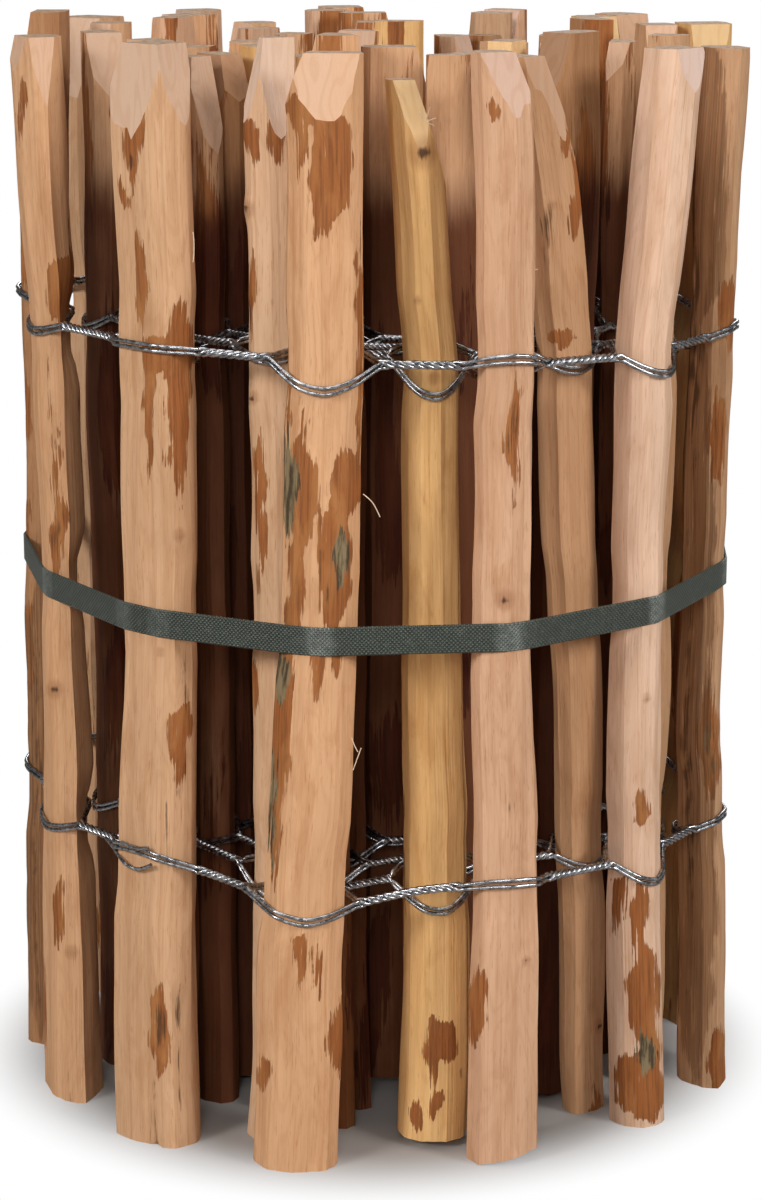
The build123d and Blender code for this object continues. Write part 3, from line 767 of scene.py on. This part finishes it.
drawn = bpy.data.node_groups.new("drawn_wire", "GeometryNodeTree")
drawn.interface.new_socket("Line", in_out="INPUT", socket_type="NodeSocketGeometry")
for title, kind, value in (
    ("Wire Diameter", "NodeSocketFloat", WIRE),
    ("Facets", "NodeSocketInt", WIRE_FACETS),
):
    drawn.interface.new_socket(title, in_out="INPUT", socket_type=kind).default_value = value
drawn.interface.new_socket("Wire", in_out="OUTPUT", socket_type="NodeSocketGeometry")
given = add(drawn, "NodeGroupInput")
line_curve = add(drawn, "GeometryNodeMeshToCurve", {"Mesh": given.outputs["Line"]})
thick = add(drawn, "ShaderNodeMath", {0: given.outputs["Wire Diameter"], 1: 0.5}, operation="MULTIPLY")
round_wire = add(drawn, "GeometryNodeCurvePrimitiveCircle", {"Resolution": given.outputs["Facets"],
                                                            "Radius": thick.outputs[0]})
swept = add(drawn, "GeometryNodeCurveToMesh", {"Curve": line_curve.outputs[0],
                                               "Profile Curve": round_wire.outputs[0], "Fill Caps": True})
soft = add(drawn, "GeometryNodeSetShadeSmooth", {"Geometry": swept.outputs[0]})
real = add(drawn, "GeometryNodeRealizeInstances", {"Geometry": soft.outputs[0]})
coated = add(drawn, "GeometryNodeSetMaterial", {"Geometry": real.outputs[0], "Material": zinc})
add(drawn, "NodeGroupOutput", {"Wire": coated.outputs[0]})


def smooth_line(routes, order=3, resolution=2):
    """The smooth lines of one or more routes, read from splines, as the points and edges of one mesh."""
    curve = bpy.data.curves.new("route", "CURVE")
    curve.dimensions = "3D"
    curve.resolution_u = resolution
    for route in routes:
        spline = curve.splines.new("NURBS")
        spline.points.add(len(route) - 1)
        for point, target in zip(spline.points, route):
            point.co = (*target, 1)
        spline.order_u = order
        spline.use_endpoint_u = True
    guide = bpy.data.objects.new("route", curve)
    scene.collection.objects.link(guide)
    bpy.context.view_layer.update()
    mesh = bpy.data.meshes.new_from_object(guide.evaluated_get(bpy.context.evaluated_depsgraph_get()))
    bpy.data.objects.remove(guide)
    return mesh


def wire_piece(name, routes, diameter=WIRE, resolution=2, material=None):
    """Round wire along each route, as one piece."""
    piece = bpy.data.objects.new(name, smooth_line(routes, resolution=resolution))
    scene.collection.objects.link(piece)
    modifier = piece.modifiers.new("drawn_wire", "NODES")
    modifier.node_group = drawn
    sockets = {s.name: s.identifier for s in drawn.interface.items_tree if s.in_out == "INPUT"}
    modifier[sockets["Wire Diameter"]] = diameter
    modifier[sockets["Facets"]] = WIRE_FACETS
    bpy.context.view_layer.update()
    mesh = bpy.data.meshes.new_from_object(piece.evaluated_get(bpy.context.evaluated_depsgraph_get()))
    piece.modifiers.clear()
    piece.data = mesh
    if material:
        mesh.materials.clear()
        mesh.materials.append(material)
    return piece


class Crossing:
    """Where a wire line meets one pale: the pale's outline, and the directions along the fence and out."""

    def __init__(self, name, level, rays):
        middle, reach = section(pale_corners[name], level + CORNER_NUDGE, rays)
        self.middle = np.array(middle)
        out = self.middle - np.array(axis[:2])
        self.radius = np.hypot(*out)
        self.out = out / self.radius
        self.along = np.array((-self.out[1], self.out[0]))
        grown = rays * (reach + WIRE / 2 + WIRE_CLEARANCE)[:, None]
        self.outline = [(float(p @ self.along), float(p @ self.out)) for p in grown]
        self.half_width = max(abs(x) for x, y in self.outline)

    def plan(self, x, y):
        return self.middle + self.along * x + self.out * y

    def local(self, point):
        away = np.array(point) - self.middle
        return float(away @ self.along), float(away @ self.out)


def gap_line(first, second, bowed):
    """A point of the gap between two pales as a function of the share along it, and the gap's length."""
    start = first.plan(first.half_width + TWIST_MARGIN, 0)
    end = second.plan(-second.half_width - TWIST_MARGIN, 0)
    chord = end - start

    def at(share):
        point = start + chord * share
        if bowed:
            away = point - np.array(axis[:2])
            target = np.hypot(*(start - axis[:2])) * (1 - share) + np.hypot(*(end - axis[:2])) * share
            point = np.array(axis[:2]) + away * target / np.hypot(*away)
        return point

    return at, float(np.hypot(*chord))


def spaced(points, step):
    """Points at even steps along a plan polyline, ends included."""
    points = np.array(points)
    lengths = np.concatenate([[0], np.cumsum(np.hypot(*np.diff(points, axis=0).T))])
    count = max(2, int(round(lengths[-1] / step)))
    wanted = np.linspace(0, lengths[-1], count + 1)
    placed = [np.array([np.interp(w, lengths, points[:, k]) for k in (0, 1)]) for w in wanted]
    return placed, wanted / lengths[-1]


# Loops that hang lower or stand higher than the rest: line, pale, how far above the line.
LOOPS = {
    ("upper", 5): -0.005, ("upper", 6): 0.001, ("upper", 7): -0.011, ("upper", 8): 0.004,
    ("upper", 9): -0.008, ("upper", 20): -0.017, ("upper", 19): -0.004,
    ("lower", 5): -0.006, ("lower", 6): 0.004, ("lower", 7): -0.004, ("lower", 8): 0.003,
    ("lower", 9): -0.010, ("lower", 20): -0.017, ("lower", 10): 0.003,
}


def line_height(line, line_name, point):
    """How high a wire line runs at a point: it falls a little to the right, and sags at the front."""
    sag = SAG[line_name] * math.exp(-((point[0] - SAG_MIDDLE) / SAG_WIDTH) ** 2)
    front = min(1.0, max(0.0, -point[1] / 0.06 - 1.1))
    return line - LINE_FALL * (point[0] - axis.x) - sag * front


def wire_routes(line, line_name):
    """The four wires of a line along the whole fence, from its outer end inwards: two for each pair."""
    rays = around(OUTLINE_RAYS)
    crossings = [Crossing(name, line, rays) for name in pale_names]
    routes = {(pair, wire): [] for pair in (0, 1) for wire in (0, 1)}
    sides = {0: 1, 1: -1}
    chance = np.random.default_rng(5)
    for number, here in enumerate(crossings):
        outer = number < OUTER_COUNT
        close = number < 2 * OUTER_COUNT
        last = number + 1 == len(crossings)
        after = None if last else gap_line(here, crossings[number + 1], number + 1 >= OUTER_COUNT)
        for (pair, wire), route in routes.items():
            side = sides[pair]
            lift = LOOP_RISE if (number % 2 == 1) == (pair == 0) else -LOOP_DROP
            if side > 0:
                lift = LOOPS.get((line_name, number + 1), lift)
            spread = PAIR_SPREAD * (1 if wire else -1)
            spread_more = chance.uniform(0, LOOP_SPREAD) if side > 0 else 0
            if not number:
                first = here.plan(-here.half_width - TAIL, TAIL_OFFSET * side)
            else:
                first = np.array(route[-1][:2])
            then = here.plan(here.half_width + TAIL, TAIL_OFFSET * side) if last else after[0](0)
            ends = [here.local(first), here.local(then)]
            chain = half_hull(here.outline + ends, side)
            path_points = [here.plan(*p) for p in chain]
            steps, shares = spaced(path_points, OUTER_STEP if outer else SECOND_STEP if close else INNER_STEP)
            for point, share in zip(steps[1:-1], shares[1:-1]):
                base = line_height(line, line_name, point)
                bend = math.sin(math.pi * share)
                rise = lift * bend ** 1.1 + spread + spread_more * bend * (1 if wire else -1)
                route.append((point[0], point[1], base + rise))
            if last:
                route.append((*then, line_height(line, line_name, then) + spread))
                continue
            at_next, length_next = after
            whole = max(1, round(length_next / TWIST_PITCH))
            turns = whole if number + 1 < OUTER_COUNT else whole + 0.5
            turning = 1 if number % 2 else -1
            along = at_next(1) - at_next(0)
            along = along / np.hypot(*along)
            out = np.array((along[1], -along[0]))
            start = math.radians((45 if wire else -45) if side > 0 else (135 if wire else 225))
            turn_steps = OUTER_TURN_STEPS if outer else SECOND_TURN_STEPS if close else INNER_TURN_STEPS
            count = int(turns * turn_steps)
            for step in range(count + 1):
                share = step / count
                turn = start + turning * 2 * math.pi * turns * share
                loose = 1 + 0.5 * (1 - min(1, 8 * share)) + 0.5 * (1 - min(1, 8 * (1 - share)))
                radius = BRAID_RADIUS * loose
                point = at_next(share) + out * radius * math.cos(turn)
                base = line_height(line, line_name, point)
                route.append((point[0], point[1], base + radius * math.sin(turn)))
        if number + 1 >= OUTER_COUNT:
            sides = {pair: -side for pair, side in sides.items()}
    return routes


for line, line_name in zip(WIRE_HEIGHTS, ("upper", "lower")):
    routes = wire_routes(line, line_name)
    for pair, order in ((0, "first"), (1, "second")):
        node = f"{line_name}_{order}_wire_pair"
        piece = wire_piece("twisted_" + node, [routes[pair, 0], routes[pair, 1]])
        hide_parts(node)
        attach(piece, "root")

# Loose wire: a hooked end that hangs from the lower line beside the second pale from the left, and the cut
# end above it. Both are the same wire as the lines and lie against the pale: points in the photograph's
# pixels, and how far back each stands.
LOOSE_ENDS = (
    ((106, 838, -0.1045), (113, 846, -0.112), (119, 856, -0.1235), (125, 864, -0.1285), (134, 869, -0.1315),
     (143, 869, -0.1345), (151, 865, -0.1375)),
    ((122, 842, -0.1255), (131, 847, -0.1300), (140, 849, -0.1335), (148, 848, -0.1370)),
)
loose = wire_piece("loose_wire_ends", [traced(seen) for seen in LOOSE_ENDS], resolution=4)
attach(loose, "root")

# The strap: one dark green plastic band, embossed with small diamonds, pulled tight round the outer pales.
# It whitens where it is creased over a pale's edge, and its ends are lapped and welded at the back.
STRAP_THICKNESS = 0.0009
STRAP_DIP = 0.004
STRAP_LAP = 0.06
STRAP_STEP = 0.0025
STRAP_CLEARANCE = 0.0002
STRAP_RAYS = 72
LAP_GAP = 0.0001
WELD_SHARE = 0.2
DIAMOND = 0.0019

rays = around(STRAP_RAYS)
ring_points = []
for name in pale_names[:OUTER_COUNT]:
    middle, reach = section(pale_corners[name], STRAP_HEIGHT + CORNER_NUDGE, rays)
    grown = rays * (reach + STRAP_THICKNESS / 2 + STRAP_CLEARANCE)[:, None] + middle
    ring_points += [(float(x), float(y)) for x, y in grown]
under, over = half_hull(ring_points, -1), half_hull(ring_points, 1)
hull = under[:-1] + over[:0:-1]
spans = [math.dist(a, b) for a, b in zip(hull, hull[1:] + hull[:1])]
back = max((k for k in range(len(hull)) if hull[k][1] > 0.1), key=lambda k: spans[k])
hull = hull[back + 1:] + hull[:back + 1]
weld_start = np.array(hull[-1]) + (np.array(hull[0]) - hull[-1]) * WELD_SHARE
loop = [weld_start] + [np.array(p) for p in hull] + [weld_start]
direction = (loop[1] - loop[0]) / np.hypot(*(loop[1] - loop[0]))
loop.append(weld_start + direction * min(STRAP_LAP, 0.7 * np.hypot(*(loop[1] - loop[0]))))
steps, shares = spaced(loop, STRAP_STEP)
turns = [0.0]
for before, point, after in zip(steps, steps[1:], steps[2:]):
    first, second = point - before, after - point
    turns.append(abs(math.atan2(first[0] * second[1] - first[1] * second[0], first @ second)))
turns.append(0.0)
total = len(steps)
lap_from = total - int(round(np.hypot(*(loop[-1] - loop[-2])) / STRAP_STEP))
points, crease = [], []
profile = [(-1, -1), (-0.9, 1), (-0.3, 1), (0.3, 1), (0.9, 1), (1, -1), (0.3, -1), (-0.3, -1)]
for k, point in enumerate(steps):
    before, after = steps[max(0, k - 1)], steps[min(total - 1, k + 1)]
    run = (after - before) / np.hypot(*(after - before))
    out = np.array((run[1], -run[0]))
    lift = (STRAP_THICKNESS + LAP_GAP) * min(1, max(0, (k - lap_from + 3) / 3))
    z = STRAP_HEIGHT + STRAP_DIP * point[1] / 0.17
    for across, face in profile:
        place_out = out * (face * STRAP_THICKNESS / 2 + lift)
        points.append((point[0] + place_out[0], point[1] + place_out[1], z + across * STRAP_WIDTH / 2))
        crease.append(sum(turns[max(0, k - 2):k + 3]) / 2)
faces = []
size = len(profile)
for k in range(total - 1):
    for side in range(size):
        following = (side + 1) % size
        here, ahead = k * size, (k + 1) * size
        faces.append((here + side, ahead + side, ahead + following, here + following))
faces.append(tuple(range(size)))
faces.append(tuple(range(total * size - 1, total * size - size - 1, -1)))
strap_mesh = bpy.data.meshes.new("embossed_strap")
strap_mesh.from_pydata(points, [], faces)
strap_mesh.attributes.new("crease", "FLOAT", "POINT").data.foreach_set("value", np.array(crease, np.float32))
uv = strap_mesh.uv_layers.new(name="band")
for polygon in strap_mesh.polygons:
    for loop_index in polygon.loop_indices:
        vertex = strap_mesh.loops[loop_index].vertex_index
        step, side = divmod(vertex, size)
        uv.data[loop_index].uv = (step * STRAP_STEP, (profile[side][0] + 1) / 2 * STRAP_WIDTH)

plastic, tree, surface = new_finish("strap_plastic")
surface.inputs["Roughness"].default_value = 0.42
band = add(tree, "ShaderNodeUVMap", uv_map="band").outputs[0]
split_uv = add(tree, "ShaderNodeSeparateXYZ", {0: band})
diamonds = []
for sign in (1, -1):
    slanted = maths(tree, "ADD", split_uv.outputs["X"], maths(tree, "MULTIPLY", split_uv.outputs["Y"], sign))
    ridges = maths(tree, "SINE", maths(tree, "MULTIPLY", slanted, math.pi / DIAMOND), 0)
    diamonds.append(maths(tree, "ABSOLUTE", ridges, 0))
knurl = maths(tree, "MULTIPLY", diamonds[0], diamonds[1])
scuffed = add(tree, "ShaderNodeTexNoise", {"Vector": band, "Scale": 240.0, "Detail": 4.0}).outputs[0]
# The diamonds' tops are painted lighter and the grooves between them darker: painted sheen and shade of the
# emboss, over its bump.
strap_colour = mixed(tree, level(tree, knurl, 0.1, 0.8), (0.034, 0.044, 0.034, 1), (0.105, 0.120, 0.100, 1))
strap_colour = mixed(tree, level(tree, scuffed, 0.5, 0.75, 0.0, 0.5), strap_colour, (0.13, 0.15, 0.12, 1))
white = level(tree, attribute(tree, "crease").outputs["Fac"], 0.04, 0.3, 0.0, 0.85)
lines = level(tree, knurl, 0.05, 0.45, 1.0, 0.25)
lines = maths(tree, "MULTIPLY", lines, level(tree, scuffed, 0.35, 0.6, 0.5, 1.0))
strap_colour = mixed(tree, maths(tree, "MULTIPLY", white, lines), strap_colour, (0.50, 0.54, 0.50, 1))
tree.links.new(strap_colour, surface.inputs["Base Color"])
emboss = add(tree, "ShaderNodeBump", {"Strength": 1.0, "Distance": 0.0008, "Height": knurl})
tree.links.new(emboss.outputs[0], surface.inputs["Normal"])
strap_mesh.materials.append(plastic)
strap = bpy.data.objects.new("embossed_strap", strap_mesh)
scene.collection.objects.link(strap)
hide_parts("strap")
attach(strap, "root")

# Torn fibres: thin slivers of the wood itself that the froe and the drawknife left standing, dry and nearly
# white. Each is drawn where the photograph shows it: how far back it stands, and points in its pixels.
FIBRE_THICKNESS = 0.00045
SLIVERS = (
    (-0.138, (424, 124), (428, 116), (430, 107)),
    (-0.138, (424, 124), (431, 119), (436, 118)),
    (-0.138, (424, 123), (423, 115), (419, 111)),
    (-0.138, (425, 124), (432, 123), (434, 126)),
    (-0.160, (363, 494), (371, 500), (376, 508), (380, 517)),
    (-0.160, (352, 738), (354, 746), (358, 752)),
    (-0.160, (361, 748), (358, 757), (353, 770)),
    (-0.150, (529, 268), (534, 271), (538, 269)),
    (-0.140, (193, 232), (195, 246), (193, 262)),
)

fibre_wood, tree, surface = new_finish("torn_fibre")
surface.inputs["Roughness"].default_value = 0.6
place = add(tree, "ShaderNodeTexCoord").outputs["Object"]
dry = add(tree, "ShaderNodeTexNoise", {"Vector": place, "Scale": 300.0})
dry_colour = mixed(tree, dry.outputs[0], (0.62, 0.42, 0.25, 1), (0.85, 0.72, 0.55, 1))
tree.links.new(dry_colour, surface.inputs["Base Color"])
slivers = [traced([(*pixel, back) for pixel in pixels]) for back, *pixels in SLIVERS]
fibres = wire_piece("torn_fibres", slivers, FIBRE_THICKNESS, 4, fibre_wood)
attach(fibres, "root")
